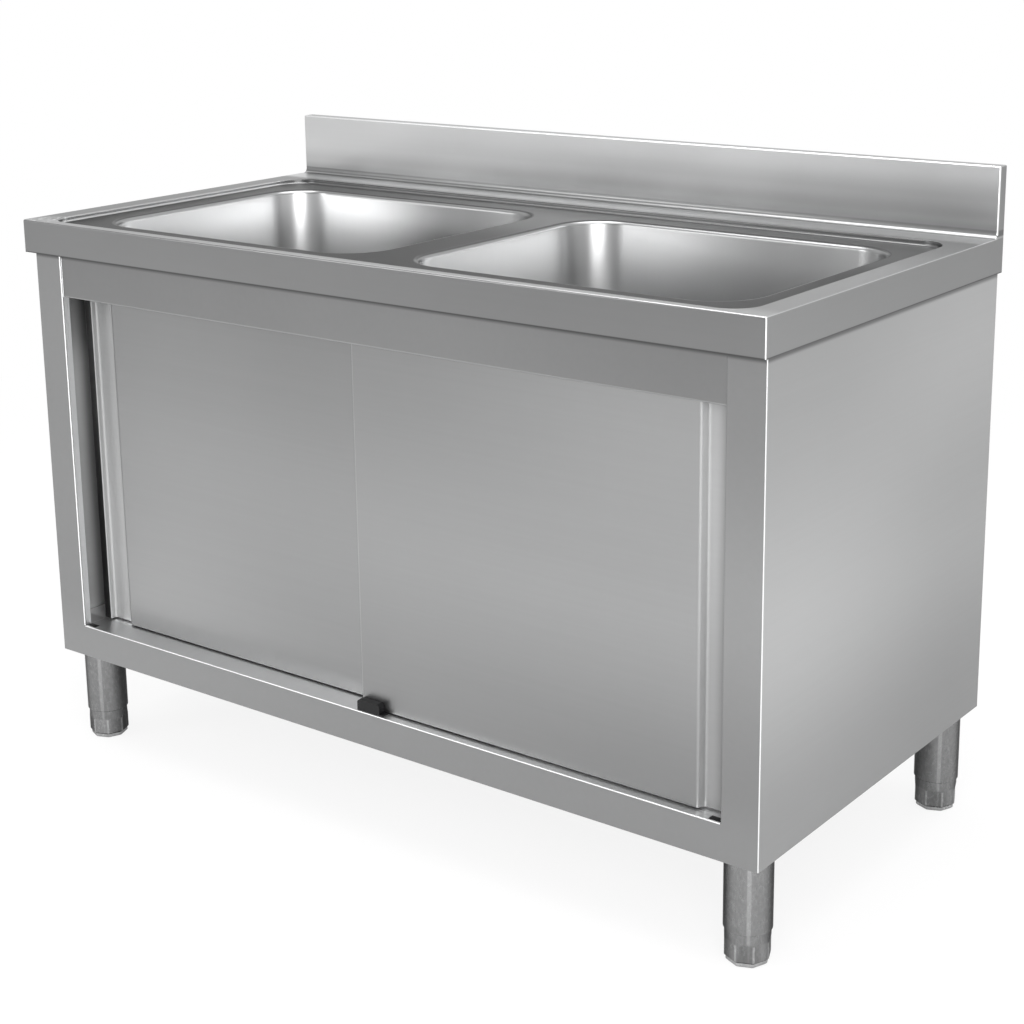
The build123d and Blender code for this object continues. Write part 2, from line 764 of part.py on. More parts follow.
def make_door(name, outer_x, inward, face_y, lane_y):
    back = face_y + door_thickness
    meeting_x = outer_x + inward * door_length
    outline = door_outline(outer_x, inward, face_y)
    fold_line = [(outer_x + inward * door_back_fold, back)] + outline
    fold_line.append((meeting_x - inward * door_back_fold, back))
    corner_radii = [
        door_fold_radius,
        bend_radius,
        door_lip_radius,
        pull_foot_radius,
        pull_foot_radius,
        pull_ramp_radius,
        bend_radius,
        door_fold_radius,
    ]
    hanger_places = [outer_x + inward * hanger_inset, meeting_x - inward * hanger_inset]
    screw_places = [x + side * hanger_screw_pitch / 2 for x in hanger_places for side in (-1, 1)]
    screw_y = face_y + hanger_screw_setback

    with BuildPart() as outer_skin:
        foot_plane = Plane.XY.offset(door_z)
        turn_side = Side.LEFT if inward > 0 else Side.RIGHT
        add(folded_sheet(fold_line, door_sheet, foot_plane, door_height, corner_radii, turn_side))
        for cap_z in (door_z, door_top_z - door_sheet):
            with BuildSketch(Plane.XY.offset(cap_z)):
                with BuildLine():
                    FilletPolyline(*outline, radius=corner_radii, close=True)
                make_face()
            extrude(amount=door_sheet)
        for x in screw_places:
            round_bar(x, screw_y, door_top_z - door_sheet, screw_radius, door_sheet, mode=Mode.SUBTRACT)
    keep(f"{name}_outer_skin", outer_skin.part)

    inside_z = (door_z + door_sheet, door_top_z - door_sheet)
    with BuildPart() as inner_skin:
        margin = door_sheet + hidden_gap
        slab(
            (outer_x + inward * margin, meeting_x - inward * margin),
            (back - 2 * door_sheet, back - door_sheet),
            inside_z,
        )
    keep(f"{name}_inner_skin", inner_skin.part)

    with BuildPart() as core:  # honeycomb board between the skins
        core_start = outer_x + inward * (pull_lip + pull_width + pull_ramp + pull_ramp_radius + door_sheet)
        core_end = meeting_x - inward * (bend_radius + hidden_gap)
        core_top_z = inside_z[1] - screw_length
        columns = int(door_length / core_cell_radius)
        rows = int(door_height / core_cell_radius)
        with BuildSketch(Plane.XZ.offset(-face_y - door_sheet)):
            with Locations(((core_start + core_end) / 2, (inside_z[0] + core_top_z) / 2)):
                Rectangle(abs(core_end - core_start), core_top_z - inside_z[0])
                with HexLocations(core_cell_radius, columns, rows):
                    RegularPolygon(core_cell_radius - core_cell_wall, 6, mode=Mode.SUBTRACT)
        extrude(amount=3 * door_sheet - door_thickness)
    keep(f"{name}_core", core.part)

    with BuildPart() as hangers:
        foot_front = lane_y - hanger_sheet / 2
        foot_z = (door_top_z, door_top_z + hanger_sheet)
        for x in hanger_places:
            with BuildSketch(Plane.XZ.offset(-lane_y - hanger_sheet / 2)):
                with Locations((x, roller_z)):
                    Circle(hanger_eye_radius)
                with Locations((x, door_top_z + hanger_sheet / 2)):
                    Rectangle(hanger_neck, hanger_sheet)
                make_hull()
            extrude(amount=hanger_sheet)
            slab(
                (x - hanger_foot_length / 2, x + hanger_foot_length / 2),
                (foot_front, foot_front + hanger_foot_width),
                foot_z,
            )
            with BuildSketch(Plane.XZ.offset(-lane_y - hanger_sheet / 2)):
                with Locations((x, roller_z)):
                    Circle(axle_radius + running_fit)
            extrude(amount=hanger_sheet, mode=Mode.SUBTRACT)
        for x in screw_places:
            round_bar(x, screw_y, door_top_z, screw_radius, hanger_sheet, mode=Mode.SUBTRACT)
    keep(f"{name}_hangers", hangers.part)

    with BuildPart() as hanger_screws:
        screw_foot_z = inside_z[1] - screw_length / 2
        for x in screw_places:
            round_bar(x, screw_y, foot_z[1], hanger_screw_head_radius, screw_radius)
            round_bar(x, screw_y, screw_foot_z, screw_radius, foot_z[1] - screw_foot_z)
    keep(f"{name}_hanger_screws", hanger_screws.part)

    for place, x in zip(("outer", "inner"), hanger_places):
        across = Plane(origin=(x, lane_y, roller_z), z_dir=(0, 1, 0))
        with BuildPart() as rollers:
            wheel_face = hanger_sheet / 2 + roller_washer
            for plane in (across.offset(wheel_face), across.offset(-wheel_face - roller_width)):
                with BuildSketch(plane):
                    Circle(roller_radius)
                    Circle(axle_radius, mode=Mode.SUBTRACT)
                extrude(amount=roller_width)
            chamfer(rollers.edges().filter_by(GeomType.CIRCLE).group_by(SortBy.RADIUS)[-1], roller_chamfer)
        keep(f"{name}_{place}_rollers", rollers.part)
        with BuildPart() as axle:
            with BuildSketch(across):
                Circle(axle_radius)
            axle_half = wheel_face + roller_width
            extrude(amount=axle_half + axle_head, both=True)
            for plane in (across.offset(axle_half), across.offset(-axle_half - axle_head)):
                with BuildSketch(plane):
                    Circle(axle_head_radius)
                extrude(amount=axle_head)
        keep(f"{name}_{place}_axle", axle.part)


make_door("left_door", left_door_end, 1, rear_door_y, rear_lane_y)
make_door("right_door", right_door_end, -1, front_door_y, front_lane_y)


# ---- legs: corner bracket, tube, threaded insert and adjustable foot
def make_leg(name, side, x, y, corner_y, inward):
    with BuildPart() as bracket:
        wall_x = side * cabinet_inner_x
        span_x = (wall_x, wall_x - side * bracket_size)
        span_y = (corner_y, corner_y + inward * bracket_size)
        slab(span_x, span_y, (bracket_z, bracket_z + bracket_sheet))
        fold_z = (bracket_z, bracket_z + bracket_fold)
        slab((wall_x, wall_x - side * bracket_sheet), span_y, fold_z)
        slab(span_x, (corner_y, corner_y + inward * bracket_sheet), fold_z)
        corner = Vector(wall_x, corner_y, bracket_z + bracket_fold / 2)
        fillet(bracket.edges().filter_by(Axis.Z).sort_by_distance(corner)[0], bend_radius)
        round_bar(x, y, bracket_z, leg_bolt_radius, bracket_sheet, mode=Mode.SUBTRACT)
    keep(f"{name}_corner_bracket", bracket.part)

    with BuildPart() as tube:
        tube_height = leg_top_z - foot_height
        round_bar(x, y, foot_height, leg_radius, tube_height)
        round_bar(x, y, foot_height, insert_radius, tube_height - leg_cap_thickness, Mode.SUBTRACT)
        round_bar(x, y, foot_height, leg_bolt_radius, tube_height, Mode.SUBTRACT)
    keep(f"{name}_leg_tube", tube.part)

    with BuildPart() as insert:
        round_bar(x, y, foot_height, insert_radius, insert_height)
        round_bar(x, y, foot_height, spindle_radius + running_fit, insert_height, Mode.SUBTRACT)
    keep(f"{name}_leg_insert", insert.part)

    with BuildPart() as foot:
        body_z = foot_height - moving_gap
        spindle_z = body_z + spindle_length
        add(
            turned(
                [
                    (0, 0),
                    (foot_base_radius - foot_chamfer, 0),
                    (foot_base_radius, foot_chamfer),
                    (foot_base_radius, foot_base_height),
                    (foot_skirt_radius, foot_base_height + foot_skirt_radius - foot_base_radius),
                    (foot_skirt_radius, foot_skirt_height),
                    (foot_radius, foot_skirt_height + foot_skirt_taper),
                    (foot_radius, body_z - foot_chamfer / 2),
                    (foot_radius - foot_chamfer / 2, body_z),
                    (spindle_radius, body_z),
                    (spindle_radius, spindle_z - foot_chamfer),
                    (spindle_radius - foot_chamfer, spindle_z),
                    (0, spindle_z),
                ],
                x,
                y,
            )
        )
        for turn in range(6):  # a flat with an arched top for the spanner
            out = Vector(1, 0, 0).rotate(Axis.Z, 60 * turn)
            flat_middle = Vector(x, y, 0) + out * foot_flats / 2
            with BuildSketch(Plane(flat_middle, x_dir=out.cross(Vector(0, 0, -1)), z_dir=out)):
                with BuildLine():
                    sides = Polyline(
                        (-foot_flat_half, foot_flat_top),
                        (-foot_flat_half, foot_base_height),
                        (foot_flat_half, foot_base_height),
                        (foot_flat_half, foot_flat_top),
                    )
                    ThreePointArc(sides @ 1, (0, foot_flat_top + foot_flat_arch), sides @ 0)
                make_face()
            extrude(amount=foot_skirt_radius - foot_flats / 2 + foot_chamfer, mode=Mode.SUBTRACT)
    keep(f"{name}_foot", foot.part)


legs = []
for side, hand in ((-1, "left"), (1, "right")):
    legs.append((f"front_{hand}", side, side * leg_x, leg_front_y, cabinet_inner_y, 1))
    legs.append((f"back_{hand}", side, side * leg_x, leg_back_y, back_panel_y - cabinet_sheet, -1))
for leg in legs:
    make_leg(*leg)

with BuildPart() as leg_bolts:
    for _, _, x, y, _, _ in legs:
        head_z = bracket_z + bracket_sheet
        with BuildSketch(Plane.XY.offset(head_z)):
            with Locations((x, y)):
                RegularPolygon(leg_bolt_flats / 2, 6, major_radius=False)
        extrude(amount=leg_bolt_head)
        round_bar(x, y, head_z - leg_bolt_length, leg_bolt_radius, leg_bolt_length)
keep("leg_bolts", leg_bolts.part)
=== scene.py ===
import json
import math

import bpy
from mathutils import Matrix, Vector


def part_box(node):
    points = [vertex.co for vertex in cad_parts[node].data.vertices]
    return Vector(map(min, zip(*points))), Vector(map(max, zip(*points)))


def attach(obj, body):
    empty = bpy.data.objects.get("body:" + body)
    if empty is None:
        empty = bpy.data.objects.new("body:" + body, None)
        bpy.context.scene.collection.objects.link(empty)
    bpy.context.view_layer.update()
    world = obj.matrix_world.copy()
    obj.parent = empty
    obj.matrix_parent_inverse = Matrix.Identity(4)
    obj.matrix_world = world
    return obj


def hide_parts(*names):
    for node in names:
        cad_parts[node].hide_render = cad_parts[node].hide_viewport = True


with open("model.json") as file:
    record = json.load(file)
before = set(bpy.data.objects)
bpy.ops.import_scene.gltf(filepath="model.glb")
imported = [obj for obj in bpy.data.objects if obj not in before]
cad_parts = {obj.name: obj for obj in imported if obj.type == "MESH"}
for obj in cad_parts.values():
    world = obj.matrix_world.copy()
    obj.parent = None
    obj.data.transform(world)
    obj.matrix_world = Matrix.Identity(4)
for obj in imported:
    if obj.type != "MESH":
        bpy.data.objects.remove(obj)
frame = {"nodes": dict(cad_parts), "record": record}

# kitchen sink unit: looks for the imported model, in metres
nodes = frame["nodes"]
for spare in [o for o in bpy.data.objects if o.type in {"MESH", "LIGHT", "CAMERA"} and o.name not in nodes]:
    bpy.data.objects.remove(spare)
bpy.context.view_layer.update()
print("frame loaded:", len(nodes), "pieces")


# shader maths: a socket that can be added, multiplied and compared like a number
class Wire:
    def __init__(self, finish, socket):
        self.finish = finish
        self.socket = socket

    def maths(self, operation, first, second=0.0):
        return self.finish.node("Math", {"operation": operation}, {0: first, 1: second})[0]

    def __add__(self, other):
        return self.maths("ADD", self, other)

    def __sub__(self, other):
        return self.maths("SUBTRACT", self, other)

    def __rsub__(self, other):
        return self.maths("SUBTRACT", other, self)

    def __mul__(self, other):
        return self.maths("MULTIPLY", self, other)

    def __abs__(self):
        return self.maths("ABSOLUTE", self)

    def orMore(self, other):
        return self.maths("MAXIMUM", self, other)

    # the turn of a spot round an axis, from its two distances: this one over the other
    def turnOver(self, other):
        return self.maths("ARCTAN2", self, other)

    def sine(self):
        return self.maths("SINE", self)

    def cosine(self):
        return self.maths("COSINE", self)

    __radd__ = __add__
    __rmul__ = __mul__


class Finish:
    def __init__(self, owner):
        owner.use_nodes = True
        self.owner = owner
        self.tree = owner.node_tree
        self.tree.nodes.clear()

    def node(self, kind, settings=None, sockets=None):
        made = self.tree.nodes.new("ShaderNode" + kind)
        for name, value in (settings or {}).items():
            setattr(made, name, value)
        for name, value in (sockets or {}).items():
            if isinstance(value, Wire):
                self.tree.links.new(value.socket, made.inputs[name])
            else:
                made.inputs[name].default_value = value
        return [Wire(self, socket) for socket in made.outputs if socket.enabled]

    def place(self):
        return self.node("TexCoord")[3]

    def axes(self, vector):
        return self.node("SeparateXYZ", None, {0: vector})

    def scaled(self, vector, factors):
        return self.node("VectorMath", {"operation": "MULTIPLY"}, {0: vector, 1: factors})[0]

    def offset(self, vector, spot):
        return self.node("VectorMath", {"operation": "SUBTRACT"}, {0: vector, 1: spot})[0]

    def length(self, vector):
        return self.node("VectorMath", {"operation": "LENGTH"}, {0: vector})[0]

    def noise(self, vector, detail):
        return self.node("TexNoise", None, {"Vector": vector, "Scale": 1.0, "Detail": detail})[0]

    def span(self, value, low, high, lowTone=0.0, highTone=1.0):
        ends = {"Value": value, "From Min": low, "From Max": high, "To Min": lowTone, "To Max": highTone}
        return self.node("MapRange", {"interpolation_type": "SMOOTHSTEP"}, ends)[0]

    # 1 under the low end, 0 over the high one
    def below(self, value, low, high):
        return self.span(value, low, high, 1.0, 0.0)

    def mixed(self, factor, first, second):
        return self.node("Mix", {"data_type": "RGBA"}, {0: factor, 6: (*first, 1.0), 7: (*second, 1.0)})[0]

    # a painted highlight along a straight fold that runs beside one axis through a spot, 0 past its reach
    # and its ends
    def fold(self, place, look):
        axis = look["axis"]
        across = self.scaled(self.offset(place, look["spot"]), [0.0 if i == axis else 1.0 for i in range(3)])
        distance = self.length(across)
        along = self.axes(place)[axis]
        low, high = look["ends"]
        inside = self.below(abs(along - (low + high) / 2), (high - low) / 2 - 0.001, (high - low) / 2)
        return self.span(distance, look["reach"] * 0.5, look["reach"], look["shine"], 0.0) * inside

    # a tone that changes softly over a surface: a row has its height, then the tone at either end
    def graded(self, along, up, ends, rows):
        share = self.span(along, *ends)
        tone = rows[0][1] + (rows[0][2] - rows[0][1]) * share
        for lower, upper in zip(rows, rows[1:]):
            above = upper[1] + (upper[2] - upper[1]) * share
            tone = tone + (above - tone) * self.span(up, lower[0], upper[0])
        return tone


def laid(under, over, mask):
    return under * (1 - mask) + over * mask


def grey(tone):
    return (tone, tone, tone, 1.0)


# finishes
worktopLow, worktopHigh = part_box("worktop")
bowlLow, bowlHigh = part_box("right_bowl")
panelLow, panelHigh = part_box("right_side_panel")
shelfLow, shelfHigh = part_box("bottom_shelf")
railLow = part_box("top_rail")[0]
doorLow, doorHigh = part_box("right_door_outer_skin")
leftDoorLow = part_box("left_door_outer_skin")[0]
footLow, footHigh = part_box("front_right_foot")
backFootLow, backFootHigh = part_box("back_right_foot")
deckZ = bowlHigh.z
rimZ = deckZ + 0.008
rimY = worktopLow.y + 0.016
fasciaZ = rimZ - 0.050
splashY = worktopHigh.y - 0.021
panEndX, panBackY = 0.6125, 0.250
betweenDoors = (-0.275, -0.272)
steelFinishes = {
    # roughness, the axis its brushing runs along, depth of the brushing, streaks, tone of the glancing
    # light, strength of the blotches, and the tone of the sheet where no look below gives it
    "worktop_steel": {"roughness": 0.32, "grain": 0, "depth": 0.00002, "streaks": 0.03, "edge": 0.55},
    "bowl_steel": {"roughness": 0.30, "grain": 2, "depth": 0.0000008, "streaks": 0.02, "edge": 0.7},
    "panel_steel": {"roughness": 0.36, "grain": 1, "depth": 0.00002, "streaks": 0.04},
    "inner_steel": {"tone": 0.30, "roughness": 0.42, "grain": 0, "depth": 0.00002, "streaks": 0.05},
    "door_steel": {"roughness": 0.36, "grain": 0, "depth": 0.00002, "streaks": 0.05},
    "door_back_steel": {"tone": 0.33, "roughness": 0.42, "grain": 0, "depth": 0.00002, "streaks": 0.05},
    "drain_steel": {"tone": 0.60, "roughness": 0.22, "grain": 2, "depth": 0.00001, "streaks": 0.04},
    "leg_steel": {
        "roughness": 0.24, "grain": 2, "depth": 0.00001, "streaks": 0.06, "edge": 0.45, "mottle": 0.30,
    },
    "foot_plastic": {
        "roughness": 0.24, "grain": 2, "depth": 0.00001, "streaks": 0.04, "edge": 0.45, "mottle": 0.34,
    },
    "zinc_steel": {"tone": 0.50, "roughness": 0.40, "grain": 2, "depth": 0.00003, "streaks": 0.10},
    "track_aluminium": {"tone": 0.60, "roughness": 0.38, "grain": 0, "depth": 0.00002, "streaks": 0.05},
}
mouldedFinishes = {
    # colour, roughness, size of the mottle, gloss where it isn't the usual one
    "honeycomb_board": {"colour": (0.42, 0.30, 0.18), "roughness": 0.85, "mottle": 0.004},
    "drain_plastic": {"colour": (0.62, 0.62, 0.60), "roughness": 0.45, "mottle": 0.006},
    "seal_rubber": {"colour": (0.030, 0.030, 0.032), "roughness": 0.70, "mottle": 0.002},
    "stop_rubber": {"colour": (0.025, 0.025, 0.027), "roughness": 0.65, "mottle": 0.002},
    "guide_plastic": {"colour": (0.006, 0.006, 0.0065), "roughness": 0.42, "mottle": 0.002, "gloss": 0.22},
    "roller_plastic": {"colour": (0.70, 0.70, 0.67), "roughness": 0.40, "mottle": 0.003},
    "insert_plastic": {"colour": (0.030, 0.030, 0.030), "roughness": 0.55, "mottle": 0.002},
}
brushing = {
    # lines per metre across and along, for the fine and the coarse lines
    "fine": (1600.0, 14.0),
    "coarse": (160.0, 1.5),
    "clouds": 5.0,
    "cloudTone": 0.06,
    "blotches": (260.0, 260.0, 150.0),
}

# rows in these paint light and shade: the height or the place from front to back, then the tone at the left
# and at the right end, or on a side panel at the front and at the back
worktopLook = {
    # painted light: the splashback pales upwards
    "splash": [
        (rimZ + 0.011, 0.40, 0.33), (rimZ + 0.024, 0.51, 0.45), (rimZ + 0.050, 0.62, 0.61),
        (worktopHigh.z - 0.01, 0.61, 0.83),
    ],
    "splashFootShade": 0.18,  # painted shade: how much darker the middle of its foot is
    "splashTop": (0.37, 0.64),  # painted light on the end caps, and a paler top return
    "fascia": [(worktopLow.y, 0.270, 0.220), (worktopLow.y + 0.002, 0.319, 0.355)],
    # painted shade along the fascia's foot
    "fasciaFootShade": 0.35,
    # painted shade on the deck, darkest at its front
    "deck": [
        (-0.27, 0.09, 0.08), (-0.15, 0.13, 0.08), (-0.05, 0.13, 0.075), (0.20, 0.22, 0.28),
        (0.235, 0.35, 0.43),
    ],
    # painted light in soft bands across the rim
    "rim": [
        (rimY - 0.004, 0.56, 0.54), (-0.28, 0.38, 0.43), (0.0, 0.39, 0.48), (0.24, 0.46, 0.50),
        (0.26, 0.94, 0.82),
    ],
    "cove": (0.50, 0.23),  # painted light and shade in the cove, at its foot and at its top
    "step": 0.46,  # from the rim down to the deck
    "backStep": (0.17, 0.08),  # painted shade on the same step at the back, at its foot and at its top
    "swirlSpot": (-0.618, -0.300, rimZ),
    "swirl": 0.30,
}
bowlLook = {
    # painted reflection down the walls of the left and the right bowl
    "left": [(deckZ - 0.20, 0.32, 0.09), (deckZ - 0.08, 0.51, 0.12), (deckZ - 0.02, 0.63, 0.25)],
    "right": [(deckZ - 0.20, 0.40, 0.20), (deckZ - 0.08, 0.50, 0.29), (deckZ - 0.02, 0.53, 0.33)],
    "ends": (0.14, 0.34),  # where these rows begin and end, from a bowl's left end
    "rightWall": 0.99,  # how much of it is left at the right bowl's left wall
    "farEnd": 0.11,  # painted light added at the right end
    "front": 1.12,  # how much paler the front is painted
    "lip": (0.34, 0.11),  # painted light and shade on the lip, at its foot and at its top
}
panelLook = {
    # painted light and shade on the fronts and the sides
    "front": [(0.17, 0.262, 0.226), (0.25, 0.240, 0.208), (0.50, 0.262, 0.272), (0.72, 0.288, 0.238)],
    "side": [(0.20, 0.290, 0.226), (0.48, 0.424, 0.342), (0.74, 0.382, 0.452)],
    "rail": (0.236, 0.210),
    # painted light on the ledge in front of the doors
    "ledge": [(-0.305, 0.66, 0.86), (-0.272, 0.66, 0.95), (-0.262, 1.0, 1.0)],
    "return": 0.92,  # painted highlight on the stiles' edges in the door opening
    "innerSide": (0.60, 0.13),  # painted reflection near the opening and painted shade deeper in
    "innerDullness": 0.6,
    # painted shade under the worktop
    "underWorktop": 0.42,
}
doorLook = {
    # painted light and shade: soft gradients on the doors and in their finger pulls
    "left": [(0.206, 0.315, 0.245), (0.235, 0.325, 0.260), (0.47, 0.309, 0.289), (0.72, 0.276, 0.250)],
    "right": [(0.22, 0.240, 0.210), (0.47, 0.303, 0.302), (0.72, 0.262, 0.316)],
    "leftLip": (0.15, 0.34),  # at its foot and at its top
    "rightLip": 0.42,
    "leftRecess": (0.41, 0.35),
    "rightRecess": (0.15, 0.32),  # painted shade in the recess, towards the lip and away from it
    "rightRecessEnd": 0.05,
    # painted shade towards the right door's foot
    "rightFoot": 0.70,
    "pullDullness": 0.55,
}
legLook = {
    "tone": 0.15,
    "shade": 0.62,  # painted shade away from the highlight line
    "paintedSheen": 0.75,  # painted sheen added near it
    "paintedSheenReach": 0.038,
    "flats": (0.78, 1.25),  # painted shading: the darkest and the brightest of a foot's flats
    # painted highlight along the corners of a foot's flats
    "corners": 0.14,
    "base": 0.40,
    # a painted highlight line down each leg
    "highlightTurn": math.radians(32),  # from the front towards the right
    "highlightReach": 0.0036,
    "highlightShine": 0.12,
}

# painted highlights along the folds, standing in for the light their bends catch
highlightTone = 0.95
panelFront, openingX = panelLow.y, panelLow.x
paintedHighlights = {
    "worktop_steel": {
        "frontCorner": {
            "spot": (worktopHigh.x, worktopLow.y, 0.0), "axis": 2, "reach": 0.0018,
            "ends": (fasciaZ, rimZ), "shine": 1.0,
        },
        "farCorner": {
            "spot": (worktopLow.x, worktopLow.y, 0.0), "axis": 2, "reach": 0.0018,
            "ends": (fasciaZ, rimZ), "shine": 1.0,
        },
        "splashTop": {
            "spot": (0.0, splashY, worktopHigh.z), "axis": 0, "reach": 0.0022,
            "ends": (worktopLow.x, worktopHigh.x), "shine": 0.85,
        },
        "splashEnd": {
            "spot": (worktopHigh.x, splashY, 0.0), "axis": 2, "reach": 0.0020,
            "ends": (rimZ + 0.004, worktopHigh.z), "shine": 1.0,
        },
        "rimInside": {
            "spot": (0.0, rimY, rimZ), "axis": 0, "reach": 0.0018,
            "ends": (worktopLow.x + 0.05, worktopHigh.x - 0.05), "shine": 0.25,
        },
        "rimSide": {
            "spot": (worktopHigh.x, 0.0, rimZ), "axis": 1, "reach": 0.0014,
            "ends": (worktopLow.y, splashY), "shine": 0.35,
        },
    },
    "panel_steel": {
        "openingSide": {
            "spot": (-openingX, panelFront, 0.0), "axis": 2, "reach": 0.0017,
            "ends": (shelfHigh.z, panelHigh.z), "shine": 1.0,
        },
        "openingFoot": {
            "spot": (0.0, shelfLow.y, shelfHigh.z), "axis": 0, "reach": 0.0017,
            "ends": (-openingX, openingX), "shine": 1.0,
        },
        "rightCorner": {
            "spot": (panelHigh.x, panelFront, 0.0), "axis": 2, "reach": 0.0016,
            "ends": (panelLow.z, panelHigh.z), "shine": 0.75,
        },
        "railFoot": {
            "spot": (0.0, railLow.y, railLow.z), "axis": 0, "reach": 0.0030,
            "ends": (-openingX, openingX), "shine": 0.10,
        },
        "leftCorner": {
            "spot": (-panelHigh.x, panelFront, 0.0), "axis": 2, "reach": 0.0017,
            "ends": (panelLow.z, panelHigh.z), "shine": 0.6,
        },
    },
    "door_steel": {
        "meeting": {
            "spot": (doorLow.x, doorLow.y, 0.0), "axis": 2, "reach": 0.0030,
            "ends": (doorLow.z, doorHigh.z), "shine": 0.12,
        },
    },
}
# painted highlight lines down the legs, also laid on the feet
legHighlightLines = {}
for leg in ("front_left", "front_right", "back_left", "back_right"):
    low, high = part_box(leg + "_leg_tube")
    radius = (high.x - low.x) / 2
    highlightX = low.x + radius * (1 + math.sin(legLook["highlightTurn"]))
    highlightY = low.y + radius * (1 - math.cos(legLook["highlightTurn"]))
    legHighlightLines[leg] = {
        "spot": (highlightX, highlightY, 0.0), "axis": 2, "reach": legLook["highlightReach"],
        "ends": (0.002, high.z), "shine": legLook["highlightShine"],
    }
paintedHighlights["leg_steel"] = paintedHighlights["foot_plastic"] = legHighlightLines


# painted light and shade on the worktop: a deck in painted shade, a rim in painted bands of light, a fascia
# painted darker on its front than its ends with painted shade at its foot, and a splashback painted paler
# upwards
def worktopTone(finish, place):
    look = worktopLook
    x, y, z = finish.axes(place)
    within = finish.below(abs(x), panEndX, panEndX + 0.0025) * finish.span(y, rimY - 0.006, rimY - 0.004)
    within = within * finish.below(y, panBackY, panBackY + 0.002)
    onDeck = within * finish.below(z, deckZ + 0.00005, deckZ + 0.0003)
    onStep = within * finish.below(z, rimZ - 0.00030, rimZ - 0.00005) - onDeck
    onSplash = finish.span(y, splashY - 0.002, splashY) * finish.span(z, rimZ + 0.0095, rimZ + 0.012)
    behind = finish.span(y, splashY + 0.0012, splashY + 0.0030)
    onFascia = finish.below(z, rimZ - 0.0010, rimZ - 0.0002) * (1 - within)
    dip = finish.span(abs(x), 0.15, 0.60, look["splashFootShade"], 0.0) * finish.below(z, rimZ + 0.01, rimZ + 0.05)
    splash = finish.graded(x, z, (worktopLow.x, worktopHigh.x), look["splash"]) * (1 - dip) * (1 - behind)
    splashTop = finish.span(z, worktopHigh.z - 0.0012, worktopHigh.z - 0.0004, *look["splashTop"])
    splash = splash + splashTop * behind
    fascia = finish.graded(x, y, (-0.6, 0.4), look["fascia"])
    fascia = fascia * finish.span(z, fasciaZ + 0.0004, fasciaZ + 0.0022, look["fasciaFootShade"], 1.0)
    deck = finish.graded(x, y, (-0.6, -0.1), look["deck"])
    inCove = finish.span(y, splashY - 0.0105, splashY - 0.0085)
    cove = finish.span(z, rimZ + 0.0012, rimZ + 0.0036, *look["cove"])
    tone = laid(finish.graded(x, y, (-0.6, 0.6), look["rim"]), cove, inCove)
    tone = laid(tone, deck, onDeck)
    backStep = finish.span(z, rimZ - 0.0018, rimZ - 0.0006, *look["backStep"])
    step = laid(look["step"], backStep, finish.span(y, 0.19, 0.23))
    tone = laid(laid(laid(tone, step, onStep), fascia, onFascia), splash, onSplash)
    # ground swirls left on the weld at the front left corner
    distance = finish.length(finish.offset(place, look["swirlSpot"]))
    wobble = finish.noise(finish.scaled(place, (55.0, 55.0, 55.0)), 2.0)
    rings = finish.span((distance * 520 + wobble * 14).sine(), 0.1, 0.9)
    swirl = rings * finish.span(distance, 0.018, 0.036, look["swirl"], 0.0)
    return tone + swirl * (1 - onDeck) * (1 - onFascia)


# painted light and reflection in each bowl: palest at its left end and darker to the right and below
def bowlTone(finish, place):
    look = bowlLook
    x, y, z = finish.axes(place)
    fromLeft = x + (bowlHigh.x + bowlLow.x) * finish.below(x, -0.001, 0.001) - bowlLow.x
    left = finish.graded(fromLeft, z, look["ends"], look["left"])
    right = finish.graded(fromLeft, z, look["ends"], look["right"])
    right = right * finish.span(fromLeft, 0.03, 0.07, look["rightWall"], 1.0)
    inside = laid(left, right, finish.span(x, -0.001, 0.001))
    inside = inside + finish.span(fromLeft, 0.38, 0.50, 0.0, look["farEnd"])
    inside = inside * finish.span(y, -0.1, 0.15, look["front"], 1.0)
    lip = finish.span(z, deckZ - 0.0022, deckZ - 0.0008, *look["lip"])
    return laid(inside, lip, finish.span(z, deckZ - 0.0075, deckZ - 0.0055))


# 1 on the inner face of a side panel, which shows beside the left door
def onInnerSide(finish, place):
    x, y, _ = finish.axes(place)
    onFace = finish.below(abs(x), panelHigh.x - 0.0009, panelHigh.x - 0.0004)
    return onFace * finish.span(abs(x), 0.638, 0.640) * finish.span(y, -0.305, -0.300)


